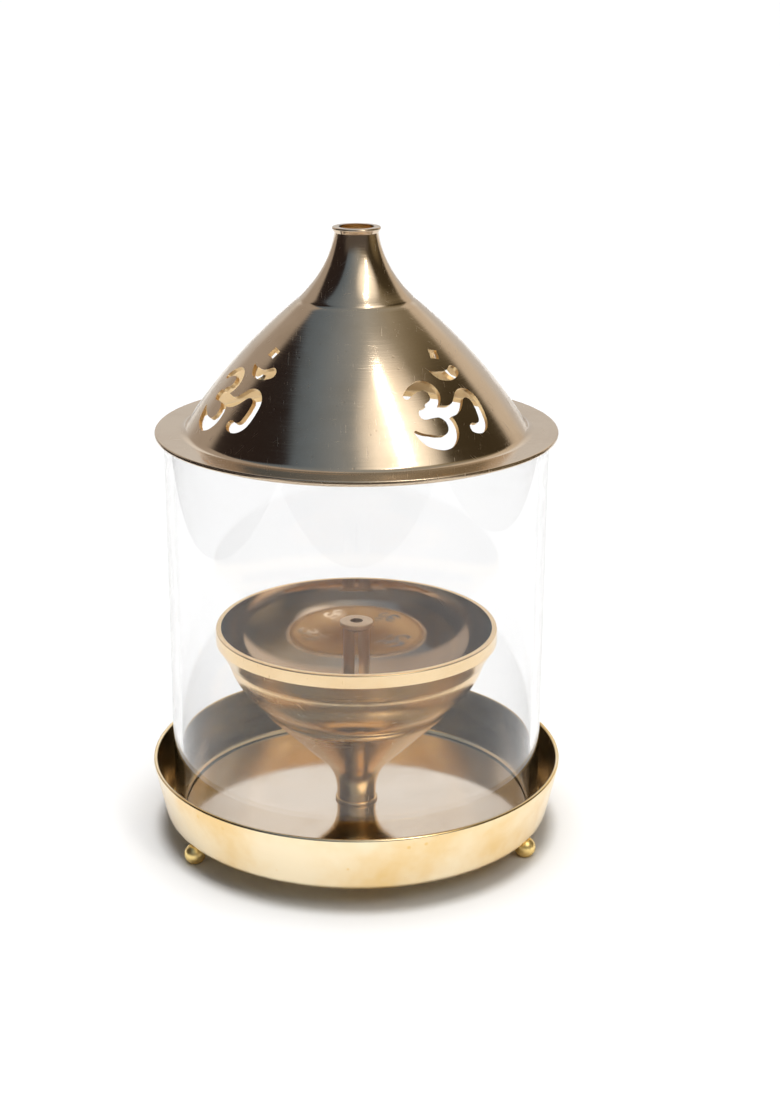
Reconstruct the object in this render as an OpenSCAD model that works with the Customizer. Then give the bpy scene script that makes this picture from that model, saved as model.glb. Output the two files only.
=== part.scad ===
// Akhand diya: a brass oil lamp with a footed tray, a stemmed bowl, a glass chimney and a pierced lid.
// Millimetres, +Z up. The origin is on the axis, on the ground under the feet. The front is towards -Y.

/* [Glass chimney] */
// Outer diameter of the glass cylinder
glass_d = 110; // [90:1:130]
// Wall of the glass
glass_wall = 2.5; // [1.8:0.1:4]
// Height of the glass
glass_h = 115.4; // [100:0.2:150]
// Radius of the melted edges at both ends of the glass
glass_edge = 0.6; // [0.3:0.1:0.8]

/* [Tray] */
// Thickness of the spun sheet
tray_t = 1.2; // [0.8:0.1:2]
// Height of the tray from its underside to its rim
tray_h = 17.6; // [12:0.2:26]
// Lean of the wall from upright, in degrees
tray_lean = 12; // [4:1:25]
// Inside radius where the floor turns up into the wall
tray_corner = 1.2; // [0.8:0.1:3]
// Room between the glass and the start of that corner
glass_room = 0.5; // [0.3:0.1:3]

/* [Feet] */
// Height of a foot, which is also the height of the tray above the ground
foot_h = 5.4; // [4.4:0.1:10]
// Largest diameter of a ball foot
foot_d = 6.2; // [5:0.1:9]
// Diameter of the flat ends of a foot, on the ground and under the tray
foot_tip_d = 3; // [2:0.1:4.4]
// How far the middle of a foot stands out from the edge of the tray's flat floor
foot_out = 0.2; // [0:0.1:0.6]
// Turn of the three feet about the axis, in degrees
foot_turn = 2.5; // [-30:0.5:30]

/* [Bowl] */
// Diameter of the bowl over its rim
bowl_d = 83.2; // [66:0.2:92]
// Width of the flat top of the rim
rim_w = 1.5; // [1:0.1:3]
// Height of the plain band round the rim
band_h = 3.8; // [2:0.1:6]
// Step in from the band to the cup below it
band_step = 0.4; // [0.3:0.1:1.2]
// Height of the cup from the rim to its lower edge
cup_h = 9.5; // [8:0.1:13]
// Draw-in of the cup from the band to its lower edge, on the radius
cup_draw = 3; // [1.5:0.1:6]
// Height of the rounded belly from the lower edge of the cup to the hollow below it
belly_h = 13.21; // [9:0.01:17]
// Draw-in of the belly from the lower edge of the cup to that hollow, on the radius
belly_draw = 8.9; // [6:0.1:12]
// Turn of the belly's side, in degrees
belly_turn = 40; // [10:1:48]
// Depth of the oil well
well_depth = 24; // [15:0.1:26]
// Wall of the bowl at the lower edge of the cup
bowl_wall = 0.9; // [0.6:0.1:1.4]
// Width of each turned groove at the lower edge of the cup
groove_w = 0.7; // [0.4:0.1:1]
// Depth of those grooves
groove_depth = 0.1; // [0.1:0.1:0.5]
// Plain width between the two grooves, and below them
groove_gap = 0.4; // [0.2:0.1:0.8]

/* [Stem] */
// Radius of the hollow between the belly and the funnel
hollow_r = 2; // [1:0.1:4]
// Radius of the rounded shoulder at the top of the funnel
shoulder_r = 4; // [2:0.1:8]
// Lean of the side between that hollow and the shoulder, in degrees
side_lean = 10; // [5:1:20]
// Radius that sweeps the funnel into the stem
stem_sweep = 14.3; // [8:0.1:20]
// Diameter of the stem
stem_d = 11.8; // [10:0.1:18]
// Straight length of the stem above the tray
stem_len = 2.3; // [1:0.1:12]
// Radius of the bead at the foot of the stem
bead_r = 0.5; // [0.3:0.1:1]

/* [Fastening under the tray] */
// Diameter of the stud below the stem
stud_d = 5; // [4:0.1:6]
// Radial room of the stud in the tray and in the washer
stud_room = 0.25; // [0.2:0.05:0.5]
// Radial room of the stud in the nut
nut_room = 0.05; // [0.02:0.01:0.1]
// Thickness of the washer
washer_t = 0.8; // [0.5:0.1:1]
// Outer diameter of the washer
washer_d = 10; // [9:0.2:14]
// Height of the thin nut
nut_h = 2.7; // [2:0.1:2.8]
// Width of the nut across its flats
nut_flats = 8; // [7.5:0.1:10]
// Length of the stud past the nut
stud_past = 0.6; // [0.2:0.1:0.8]

/* [Wick tube] */
// Outer diameter of the tube
tube_d = 7.8; // [6.4:0.1:10]
// Bore for the wick
tube_bore = 3.8; // [2.5:0.1:5]
// Overhang of the collar past the tube, on the radius
collar_over = 1.1; // [0.5:0.1:2.5]
// Height of the collar
collar_h = 2.2; // [1.8:0.1:4]
// Height of the bevel under the collar
collar_bevel = 0.9; // [0.3:0.1:1.2]
// Height of the tube's top above the rim of the bowl
tube_rise = 0.8; // [0:0.1:5]
// Width of the oil slot that is sawn across the tube
slot_w = 1.2; // [0.8:0.1:2]
// Depth of the seat in the floor of the bowl
seat_depth = 3; // [1.5:0.1:5]
// Radial room of the tube in its seat
seat_room = 0.05; // [0.02:0.01:0.1]

/* [Lid] */
// Thickness of the spun sheet
lid_t = 1.2; // [0.8:0.1:1.6]
// Height of the lid from the underside of its brim to the top
lid_h = 58; // [48:0.5:75]
// Overhang of the brim past the glass
brim_over = 2.5; // [1:0.1:8]
// Depth of the lip that keeps the lid in place on the glass
lip_drop = 1.6; // [1:0.1:4]
// Radial room between that lip and the inside of the glass
lip_room = 0.5; // [0.3:0.1:1]
// Outer diameter of the chimney neck under its lip
neck_d = 12.2; // [10:0.1:20]
// Overhang of the lip round the top of the neck, on the radius
neck_lip = 0.7; // [0.3:0.1:1.5]
// Height of that lip
neck_lip_h = 1.6; // [1:0.1:3]

/* [Vents] */
// Width of a pierced Om sign
om_w = 27; // [22:0.5:30]
// Distance up the slope from the brim to the middle of the sign
om_rise = 17; // [15:0.5:20]
// Turn of each sign from the front, in degrees, as they were marked out by hand
om_turns = [-59, 37.5, 125, 213];

/* [Hidden] */

$fn = 120;
brass = [0.80, 0.64, 0.36];
pale_brass = [0.86, 0.74, 0.52];
clear_glass = [0.85, 0.92, 0.93, 0.35];
over = 1;

// Angle from one foot to the next, for three of them
foot_step = 360 / 3;
// Lower half of a foot's side: its start [x, y, heading] on the ground and one arc [radius, sweep]
foot_side = [[0, 0, 30], [10, 60]];

// Number of short steps in each traced arc
arc_steps = 9;
// Edge rounding of the rims that are touched
soft_edge = 0.4;

// Heights, from the ground up
tray_z = foot_h;
floor_z = tray_z + tray_t;
lid_z = floor_z + glass_h;

// Radii that follow the glass
glass_r = glass_d / 2;
glass_in_r = glass_r - glass_wall;
tray_flat_r = glass_r + glass_room;
lip_r = glass_in_r - lip_room;
brim_r = glass_r + brim_over;

// Radii and heights of the bowl, from the shoulder to the rim
rim_r = bowl_d / 2;
cup_r = rim_r - band_step - cup_draw;
belly_r = cup_r - belly_draw;
stem_r = stem_d / 2;
funnel_turn = 45;
belly_lean = atan2(belly_h, belly_draw);
belly_end = 90 - belly_lean + belly_turn / 2;
funnel_r = belly_r - hollow_r * (cos(side_lean) - cos(belly_end)) - shoulder_r * (cos(side_lean) - cos(funnel_turn));
shoulder_h = hollow_r * (sin(belly_end) - sin(side_lean)) + shoulder_r * (sin(funnel_turn) - sin(side_lean));
funnel_run = (funnel_r - stem_r - stem_sweep * (1 - cos(funnel_turn))) / sin(funnel_turn);
stem_h = stem_len + 2 * bead_r;
funnel_h = stem_sweep * sin(funnel_turn) + funnel_run * cos(funnel_turn);
belly_z = floor_z + stem_h + funnel_h + shoulder_h;
cup_z = belly_z + belly_h;
rim_z = cup_z + cup_h;
seat_r = tube_d / 2 + seat_room;
well_in_r = rim_r - rim_w;
well_z = rim_z - well_depth;
// Share of the well's reach that its oval wall has at the lower edge of the cup, where the floor follows the wall
well_share = sqrt(1 - pow(cup_h / well_depth, 2));
// Plain floor that is left round the seat at least; where it is reached, the wall of the well draws in at the rim
seat_land = 0.3;
well_floor_r = max(seat_r + seat_land, (cup_r - bowl_wall - well_share * well_in_r) / (1 - well_share));
well_top_r = well_floor_r + (cup_r - bowl_wall - well_floor_r) / well_share;
seat_z = well_z - seat_depth;
stud_end_z = tray_z - washer_t - nut_h - stud_past;

// One arc from the state [x, y, heading]; a positive radius turns to the left.
function arc(s, radius, sweep) = [
    s[0] + radius * (sin(s[2] + sweep) - sin(s[2])),
    s[1] - radius * (cos(s[2] + sweep) - cos(s[2])),
    s[2] + sweep
];

// States along a chain of arcs [radius, sweep, ...] that starts at the state s.
function trace(s, arcs, i = 0) =
    i == len(arcs) ? [s] : concat(
        [for (k = [0 : arc_steps - 1]) arc(s, arcs[i][0], arcs[i][1] * k / arc_steps)],
        trace(arc(s, arcs[i][0], arcs[i][1]), arcs, i + 1)
    );

// Half widths along the same chain, where each arc's third value is the half width at its end.
function swell(w, arcs, i = 0) =
    i == len(arcs) ? [w] : concat(
        [for (k = [0 : arc_steps - 1]) w + (arcs[i][2] - w) * k / arc_steps],
        swell(arcs[i][2], arcs, i + 1)
    );

// Quarter or other part of a round edge, as points round a centre.
function round_edge(x, y, radius, from, to, n = 5) =
    [for (k = [0 : n]) let (a = from + (to - from) * k / n) [x + radius * cos(a), y + radius * sin(a)]];

// Last value of a list.
function last(list) = list[len(list) - 1];

// A traced line moved and stretched so that its ends fall on two given points.
function between(line, a, b) = [
    for (p = line) [
        a[0] + (b[0] - a[0]) * (p[0] - line[0][0]) / (last(line)[0] - line[0][0]),
        a[1] + (b[1] - a[1]) * (p[1] - line[0][1]) / (last(line)[1] - line[0][1])
    ]
];

// Direction of a line at its point i, from its neighbours.
function tangent(line, i) =
    let (d = line[min(i + 1, len(line) - 1)] - line[max(i - 1, 0)]) d / norm(d);

// The same line one sheet further to the left.
function beside(line, t) =
    [for (i = [0 : len(line) - 1]) let (d = tangent(line, i)) line[i] + t * [-d[1], d[0]]];

// Point and direction [x, y, heading] at a distance along a line.
function along(line, want, i = 0) =
    let (d = line[i + 1] - line[i], n = norm(d))
    want <= n || i == len(line) - 2
        ? [line[i][0] + d[0] * want / n, line[i][1] + d[1] * want / n, atan2(d[1], d[0])]
        : along(line, want - n, i + 1);

function reversed(list) = [for (i = [len(list) - 1 : -1 : 0]) list[i]];

// Slope of the lid outside, as arcs [radius, sweep]: a fillet off the brim, a full cone and the swept neck.
lid_fillet = [-2.2, -63.7];
lid_cone = [188, 15.3];
lid_neck = [-42.7, -34.9];
lip_in_r = lip_r - lid_t;
neck_r = neck_d / 2;
lid_slope = between(trace([0, 0, 180], [lid_fillet, lid_cone, lid_neck]),
                    [lip_in_r, lid_t], [neck_r, lid_h - neck_lip_h]);
lid_inside = concat([[lip_in_r, 0]], [for (p = beside(lid_slope, lid_t)) if (p[1] > 0) p]);

// Strokes of the Om sign: start [x, y, heading], half width there, and arcs [radius, sweep, half width].
// They are drawn for a sign of this width.
om_drawn_w = 27;
om_upper = [[-10.3, 6.2, 38], 1.0, [[-10, -28, 1.5], [-3.2, -95, 1.7], [-3.2, -95, 1.3]]];
om_lower = [[-3.9, -0.5, -15], 1.2, [[-4.3, -75, 1.5], [-4.3, -100, 2.1], [-9, -26, 1.8], [-9, -26, 0.5]]];
om_tail = [[-7.6, 0.1, 2], 1.7, [[-28, -14, 1.7], [5, 62, 1.5], [60, 2.1, 1.45], [-3.2, -130, 1.5],
                                 [-14, -23, 1.6], [-3.4, -104, 1.5]]];
om_moon = [[0, 11.8, -48], 0.2, [[6.2, 30, 1.4], [6.2, 58, 1.8]]];
om_dot = [4.3, 16.8, -12];
om_dot_w = 2.9;

// A pen stroke with round ends.
module stroke(pen) {
    line = trace(pen[0], pen[2]);
    half = swell(pen[1], pen[2]);
    left = [for (i = [0 : len(line) - 1])
        [line[i][0] - half[i] * sin(line[i][2]), line[i][1] + half[i] * cos(line[i][2])]];
    right = [for (i = [0 : len(line) - 1])
        [line[i][0] + half[i] * sin(line[i][2]), line[i][1] - half[i] * cos(line[i][2])]];
    tip = last(line);
    cap = [for (a = [45 : 45 : 135])
        [tip[0] + last(half) * cos(tip[2] + 90 - a), tip[1] + last(half) * sin(tip[2] + 90 - a)]];
    tail = [for (a = [45 : 45 : 135])
        [pen[0][0] + half[0] * cos(pen[0][2] - 90 - a), pen[0][1] + half[0] * sin(pen[0][2] - 90 - a)]];
    polygon(concat(left, cap, reversed(right), tail));
}

// The sign as flat openings, seen from outside the lid.
module om_sign() {
    scale(om_w / om_drawn_w) {
        stroke(om_upper);
        stroke(om_lower);
        stroke(om_tail);
        stroke(om_moon);
        translate([om_dot[0], om_dot[1]])
            rotate(om_dot[2])
                square(om_dot_w, center = true);
    }
}

// Cutters for the vents, each square to the slope where its sign sits.
module om_vents() {
    reach_in = 7;
    reach_out = 5;
    seat = along(lid_slope, om_rise);
    for (turn = om_turns)
        rotate(turn)
            translate([0, -seat[0], seat[1]])
                rotate([180 - seat[2], 0, 0])
                    translate([0, 0, -reach_in])
                        linear_extrude(reach_in + reach_out)
                            om_sign();
}

// Spun tray with a flat floor, a turned-up wall that leans out, and a hole for the stud.
module tray() {
    corner_z = floor_z + tray_corner;
    corner_out = tray_corner + tray_t;
    hole_r = stud_d / 2 + stud_room;
    lean = [cos(tray_lean), -sin(tray_lean)];
    rise = [sin(tray_lean), cos(tray_lean)];
    foot_in = [tray_flat_r, corner_z] + tray_corner * lean;
    wall_len = (tray_z + tray_h - foot_in[1]) / rise[1];
    top_mid = foot_in + wall_len * rise + tray_t / 2 * lean;
    color(brass)
        rotate_extrude()
            polygon(concat(
                [[hole_r, tray_z]],
                round_edge(tray_flat_r, corner_z, corner_out, -90, -tray_lean),
                round_edge(top_mid[0], top_mid[1] - tray_t / 2, tray_t / 2, -tray_lean, 180 - tray_lean, 8),
                reversed(round_edge(tray_flat_r, corner_z, tray_corner, -90, -tray_lean)),
                [[hole_r, floor_z]]
            ));
}

// Ball foot with flat ends, brazed under the edge of the tray floor.
module foot(turn) {
    side = between(trace(foot_side[0], [foot_side[1]]), [foot_tip_d / 2, 0], [foot_d / 2, foot_h / 2]);
    color(pale_brass)
        rotate(turn)
            translate([0, -(tray_flat_r + foot_out), 0])
                rotate_extrude()
                    polygon(concat(
                        [[0, 0]],
                        side,
                        [for (i = [len(side) - 2 : -1 : 0]) [side[i][0], foot_h - side[i][1]]],
                        [[0, foot_h]]
                    ));
}

module foot_left() {
    foot(foot_turn - foot_step / 2);
}

module foot_right() {
    foot(foot_turn + foot_step / 2);
}

module foot_rear() {
    foot(foot_turn + foot_step * 3 / 2);
}

// Points of the leaning cup wall, with two turned grooves just above its lower edge.
function cup_wall() =
    let (
        high = [rim_r - band_step, rim_z - band_h - band_step],
        low = [cup_r, cup_z],
        down = (low - high) / norm(low - high),
        inward = [down[1], -down[0]]
    )
    concat(
        [high],
        [for (k = [1, 0]) let (end = (k + 1) * groove_gap + k * groove_w) each [
            low - (end + groove_w) * down,
            low - (end + groove_w / 2) * down + groove_depth * inward,
            low - end * down
        ]]
    );

// Bowl, funnel, stem and stud, turned from one casting.
module diya_bowl() {
    belly = between(
        trace([0, 0, belly_lean - 180 + belly_turn / 2], [[-belly_h, -belly_turn]]),
        [cup_r, cup_z], [belly_r, belly_z]
    );
    shoulder = trace(
        [belly_r, belly_z, -90 - belly_end],
        [[hollow_r, belly_end - side_lean], [-shoulder_r, side_lean - funnel_turn]]
    );
    shoulder_end = last(shoulder);
    sweep_start = [
        shoulder_end[0] - funnel_run * sin(funnel_turn),
        shoulder_end[1] - funnel_run * cos(funnel_turn),
        shoulder_end[2]
    ];
    sweep = trace(sweep_start, [[stem_sweep, funnel_turn]]);
    color(brass)
        rotate_extrude()
            polygon(concat(
                [[0, seat_z], [seat_r, seat_z], [seat_r, well_z]],
                [for (a = [0 : 7.5 : 90])
                    [well_floor_r + (well_top_r - well_floor_r) * sin(a), rim_z - well_depth * cos(a)]],
                round_edge(rim_r - soft_edge, rim_z - soft_edge, soft_edge, 90, 0),
                [[rim_r, rim_z - band_h]],
                cup_wall(),
                belly,
                [for (k = [1 : len(shoulder) - 1]) [shoulder[k][0], shoulder[k][1]]],
                [for (p = sweep) [p[0], p[1]]],
                round_edge(stem_r, floor_z + bead_r, bead_r, 90, -90, 8),
                [[stud_d / 2, floor_z], [stud_d / 2, stud_end_z + soft_edge],
                 [stud_d / 2 - soft_edge, stud_end_z], [0, stud_end_z]]
            ));
}

module stem_washer() {
    color(pale_brass)
        translate([0, 0, tray_z - washer_t])
            difference() {
                cylinder(d = washer_d, h = washer_t);
                translate([0, 0, -over])
                    cylinder(r = stud_d / 2 + stud_room, h = washer_t + 2 * over);
            }
}

module stem_nut() {
    color(pale_brass)
        translate([0, 0, tray_z - washer_t - nut_h])
            difference() {
                cylinder(d = nut_flats / cos(30), h = nut_h, $fn = 6);
                translate([0, 0, -over])
                    cylinder(r = stud_d / 2 + nut_room, h = nut_h + 2 * over);
            }
}

// Collared tube with a bore for the wick and a sawn slot that lets the oil in.
module wick_tube() {
    top_z = rim_z + tube_rise;
    collar_z = top_z - collar_h;
    collar_r = tube_d / 2 + collar_over;
    color(pale_brass)
        difference() {
            rotate_extrude()
                polygon(concat(
                    [[tube_bore / 2, seat_z], [tube_d / 2, seat_z], [tube_d / 2, collar_z]],
                    [[collar_r, collar_z + collar_bevel]],
                    round_edge(collar_r - soft_edge, top_z - soft_edge, soft_edge, 0, 90),
                    [[tube_bore / 2, top_z]]
                ));
            translate([-slot_w / 2, -tube_d, seat_z - over])
                cube([slot_w, 2 * tube_d, collar_z - seat_z + over]);
        }
}

// Open glass cylinder with melted edges, standing on the tray floor.
module glass_chimney() {
    low = floor_z + glass_edge;
    high = floor_z + glass_h - glass_edge;
    color(clear_glass)
        rotate_extrude()
            polygon(concat(
                round_edge(glass_in_r + glass_edge, low, glass_edge, 180, 270),
                round_edge(glass_r - glass_edge, low, glass_edge, -90, 0),
                round_edge(glass_r - glass_edge, high, glass_edge, 0, 90),
                round_edge(glass_in_r + glass_edge, high, glass_edge, 90, 180)
            ));
}

// Spun lid: brim, locating lip, cone and chimney neck in one sheet, with the pierced vents.
module chimney_lid() {
    color(brass)
        translate([0, 0, lid_z])
            difference() {
                rotate_extrude()
                    polygon(concat(
                        [[lip_in_r, -lip_drop], [lip_r, -lip_drop], [lip_r, 0]],
                        round_edge(brim_r - soft_edge, soft_edge, soft_edge, -90, 0),
                        round_edge(brim_r - soft_edge, lid_t - soft_edge, soft_edge, 0, 90),
                        lid_slope,
                        round_edge(neck_r + neck_lip - soft_edge, lid_h - soft_edge, soft_edge, -30, 90),
                        [[neck_r - lid_t, lid_h]],
                        reversed(lid_inside)
                    ));
                om_vents();
            }
}

tray();
foot_left();
foot_right();
foot_rear();
diya_bowl();
stem_washer();
stem_nut();
wick_tube();
glass_chimney();
chimney_lid();
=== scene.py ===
"""Brass oil lamp with a glass chimney: turned pieces, finishes, studio and camera."""

import logging
import math
from dataclasses import dataclass, field
from enum import Enum

import bmesh
import bpy
import numpy as np
from mathutils import Matrix, Vector


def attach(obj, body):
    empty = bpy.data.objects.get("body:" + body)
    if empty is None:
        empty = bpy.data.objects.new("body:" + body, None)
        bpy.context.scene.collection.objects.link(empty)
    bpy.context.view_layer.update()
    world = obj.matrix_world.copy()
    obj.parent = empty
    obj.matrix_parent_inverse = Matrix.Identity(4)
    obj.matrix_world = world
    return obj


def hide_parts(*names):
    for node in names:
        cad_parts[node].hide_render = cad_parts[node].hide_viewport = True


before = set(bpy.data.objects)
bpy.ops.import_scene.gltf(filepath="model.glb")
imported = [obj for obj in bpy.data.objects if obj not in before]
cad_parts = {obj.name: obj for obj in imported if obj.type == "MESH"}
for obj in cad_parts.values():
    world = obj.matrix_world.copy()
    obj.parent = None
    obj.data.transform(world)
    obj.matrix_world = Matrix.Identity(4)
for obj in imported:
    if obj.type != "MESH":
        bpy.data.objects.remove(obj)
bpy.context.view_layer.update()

log = logging.getLogger("lamp")

MM = 0.001
TINY = 1e-12

Point = tuple[float, float]
Line = list[Point]
Triple = tuple[float, float, float]
Colour = Triple


class Body(str, Enum):
    """The moving bodies of the lamp."""

    BASE = "base"
    WICK = "wick"
    GLASS = "glass"
    LID = "lid"


class Slot(str, Enum):
    """The material slots of the record."""

    BRASS = "brass"
    PALE_BRASS = "pale_brass"
    GLASS = "clear_glass"


class Region(int, Enum):
    """Material places on a piece with two finishes; on the bowl the inside one is painted shade, and on the lid the
    inside one is painted light.
    """

    OUTSIDE = 0
    INSIDE = 1


# Profiles


def arc(state: Triple, radius: float, sweep: float) -> Triple:
    """Moves a pen along one arc.

    Args:
        state: Place and heading of the pen, in millimetres and degrees.
        radius: Radius of the arc; a positive one turns to the left.
        sweep: Angle of the turn, in degrees.

    Returns:
        The new place and heading.
    """
    x, y, heading = state
    a, b = math.radians(heading), math.radians(heading + sweep)
    return x + radius * (math.sin(b) - math.sin(a)), y - radius * (math.cos(b) - math.cos(a)), heading + sweep


def trace(state: Triple, arcs: list[Point], steps: int) -> list[Triple]:
    """Lists the states along a chain of arcs.

    Args:
        state: Where the pen starts.
        arcs: Radius and sweep of each arc.
        steps: Number of short steps in each arc.

    Returns:
        The states, the first and last included.
    """
    states = []
    for radius, sweep in arcs:
        states += [arc(state, radius, sweep * k / steps) for k in range(steps)]
        state = arc(state, radius, sweep)
    return states + [state]


def between(states: list[Triple], a: Point, b: Point) -> Line:
    """Moves and stretches a traced line so that its ends fall on two points.

    Args:
        states: The traced line.
        a: Where it starts.
        b: Where it ends.

    Returns:
        The stretched line.
    """
    (x0, y0, _), (x1, y1, _) = states[0], states[-1]
    return [
        (a[0] + (b[0] - a[0]) * (x - x0) / (x1 - x0), a[1] + (b[1] - a[1]) * (y - y0) / (y1 - y0))
        for x, y, _ in states
    ]


def beside(line: Line, distance: float) -> Line:
    """Gives the line that runs at a distance to the left of a line.

    Args:
        line: The line to follow.
        distance: How far to the left, in millimetres.

    Returns:
        The line beside it.
    """
    out = []
    for i, (x, y) in enumerate(line):
        before, after = line[max(i - 1, 0)], line[min(i + 1, len(line) - 1)]
        dx, dy = after[0] - before[0], after[1] - before[1]
        n = math.hypot(dx, dy)
        out.append((x - distance * dy / n, y + distance * dx / n))
    return out


def along(line: Line, distance: float) -> Triple:
    """Finds the place and heading at a distance along a line.

    Args:
        line: The line to follow.
        distance: How far along it, in millimetres.

    Returns:
        The place and the heading there, in degrees.
    """
    for a, b in zip(line, line[1:]):
        dx, dy = b[0] - a[0], b[1] - a[1]
        n = math.hypot(dx, dy)
        if distance <= n:
            break
        distance -= n
    return a[0] + dx * distance / n, a[1] + dy * distance / n, math.degrees(math.atan2(dy, dx))


def creased(line: Line, height: float, width: float, depth: float) -> Line:
    """Turns a shallow groove into a rising line.

    Args:
        line: The line, from low to high.
        height: Height of the groove's middle.
        width: Its width along the height.
        depth: Its depth towards the axis.

    Returns:
        The line with the groove.
    """
    heights, radii = [p[1] for p in line], [p[0] for p in line]
    steps = [-0.5, -0.25, 0.0, 0.25, 0.5]
    groove = [(float(np.interp(height + s * width, heights, radii)) - depth * math.cos(math.pi * s) ** 2,
               height + s * width) for s in steps]
    room = 0.55 * width
    below = [p for p in line if p[1] < height - room]
    above = [p for p in line if p[1] > height + room]
    return below + groove + above


def round_edge(x: float, y: float, radius: float, start: float, end: float, steps: int = 6) -> Line:
    """Lists points of a round edge.

    Args:
        x: Centre of the edge, from the axis.
        y: Height of that centre.
        radius: Radius of the edge.
        start: Angle where it starts, in degrees.
        end: Angle where it ends.
        steps: Number of short steps.

    Returns:
        The points.
    """
    angles = [math.radians(start + (end - start) * k / steps) for k in range(steps + 1)]
    return [(x + radius * math.cos(a), y + radius * math.sin(a)) for a in angles]


# Turned meshes


def link(name: str, data: bpy.types.ID) -> bpy.types.Object:
    """Makes an object and puts it in the scene.

    Args:
        name: Its name.
        data: Its mesh, light or camera.

    Returns:
        The new object.
    """
    made = bpy.data.objects.new(name, data)
    bpy.context.scene.collection.objects.link(made)
    return made


def mesh_of(name: str, bm: bmesh.types.BMesh) -> bpy.types.Mesh:
    """Keeps an edited mesh under a name.

    Args:
        name: Its name.
        bm: The edited mesh, which is used up.

    Returns:
        The new mesh.
    """
    mesh = bpy.data.meshes.new(name)
    bm.to_mesh(mesh)
    bm.free()
    return mesh


def read(items: bpy.types.bpy_prop_collection, key: str, width: int, kind: type = float) -> np.ndarray:
    """Reads one property of all items of a mesh.

    Args:
        items: The vertices, corners or faces.
        key: Name of the property.
        width: How many numbers each item has.
        kind: The numbers' type.

    Returns:
        The numbers, one row for each item.
    """
    out = np.empty(len(items) * width, kind)
    items.foreach_get(key, out)
    return out.reshape(-1, width) if width > 1 else out


def unit(rows: np.ndarray) -> np.ndarray:
    """Scales each row to a length of one."""
    return rows / np.maximum(np.linalg.norm(rows, axis=1), TINY)[:, None]


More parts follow.
